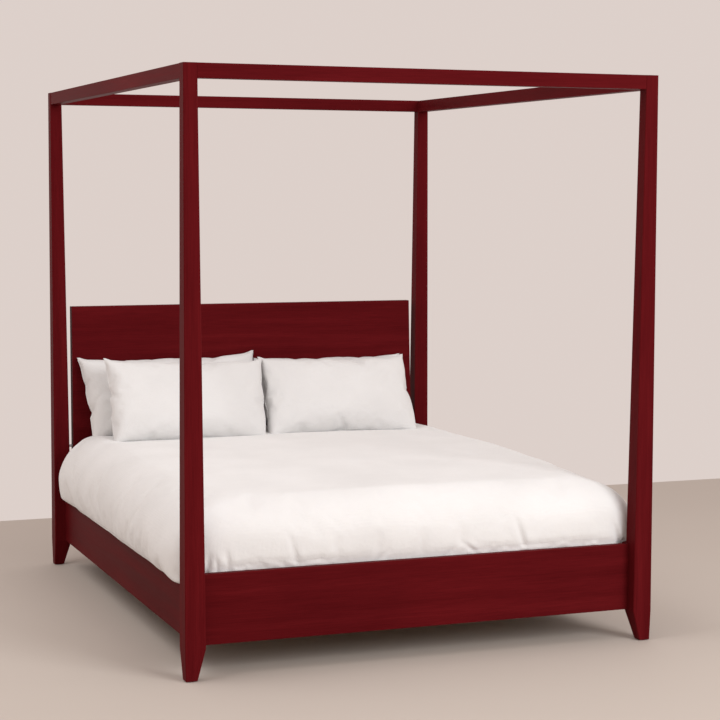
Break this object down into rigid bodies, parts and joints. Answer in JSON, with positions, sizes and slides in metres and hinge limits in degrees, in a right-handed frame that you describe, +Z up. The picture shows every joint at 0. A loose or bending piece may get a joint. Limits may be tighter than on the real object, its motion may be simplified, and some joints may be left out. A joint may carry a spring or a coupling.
{
  "type": "four poster bed",
  "caption": "Full-size four poster bed with square tapered posts, an open top frame, slatted base, plain headboard, mattress and white bedding.",
  "frame": {"origin": "on the floor at the centre of the bed's plan", "axes": "+Z up, +Y from the foot to the head, +X to the right seen from the foot end"},
  "size_m": [1.75, 2.15, 2.04],
  "materials": {
    "stained_wood": "satin dark burgundy stain",
    "support_wood": "planed pine, matt",
    "slat_wood": "planed pine, matt",
    "dowel_wood": "plain beech",
    "screw_steel": "zinc plated",
    "plate_steel": "zinc plated",
    "felt": "dense felt",
    "mattress_ticking": "woven ticking",
    "duvet_cotton": "plain white cotton",
    "pillow_cotton": "plain white cotton"
  },
  "bodies": {
    "root": {"beam_hanger_foot": "plate_steel", "beam_hanger_head": "plate_steel", "centre_beam": "support_wood", "centre_leg_foot": "support_wood", "centre_leg_head": "support_wood", "duvet": "duvet_cotton", "foot_glides": "felt", "foot_rail": "stained_wood", "hanger_screws": "screw_steel", "head_rail": "stained_wood", "headboard": "stained_wood", "headboard_dowels": "dowel_wood", "headboard_pins": "plate_steel", "hook_plate_screws": "screw_steel", "ledge_screws": "screw_steel", "leg_bolts": "screw_steel", "mattress": "mattress_ticking", "pillow_front_left": "pillow_cotton", "pillow_front_right": "pillow_cotton", "pillow_rear_left": "pillow_cotton", "pillow_rear_right": "pillow_cotton", "post_foot_left": "stained_wood", "post_foot_right": "stained_wood", "post_head_left": "stained_wood", "post_head_right": "stained_wood", "post_slot_plates": "plate_steel", "rail_hook_plates": "plate_steel", "side_rail_left": "stained_wood", "side_rail_right": "stained_wood", "slat_01": "slat_wood", "slat_02": "slat_wood", "slat_03": "slat_wood", "slat_04": "slat_wood", "slat_05": "slat_wood", "slat_06": "slat_wood", "slat_07": "slat_wood", "slat_08": "slat_wood", "slat_09": "slat_wood", "slat_10": "slat_wood", "slat_11": "slat_wood", "slat_12": "slat_wood", "slat_13": "slat_wood", "slat_14": "slat_wood", "slat_15": "slat_wood", "slat_ledge_left": "support_wood", "slat_ledge_right": "support_wood", "slat_screws": "screw_steel", "tester_dowels": "dowel_wood", "tester_plate_foot_left": "plate_steel", "tester_plate_foot_right": "plate_steel", "tester_plate_head_left": "plate_steel", "tester_plate_head_right": "plate_steel", "tester_plate_screws": "screw_steel", "tester_rail_foot": "stained_wood", "tester_rail_head": "stained_wood", "tester_rail_left": "stained_wood", "tester_rail_right": "stained_wood"}
  },
  "joints": []
}
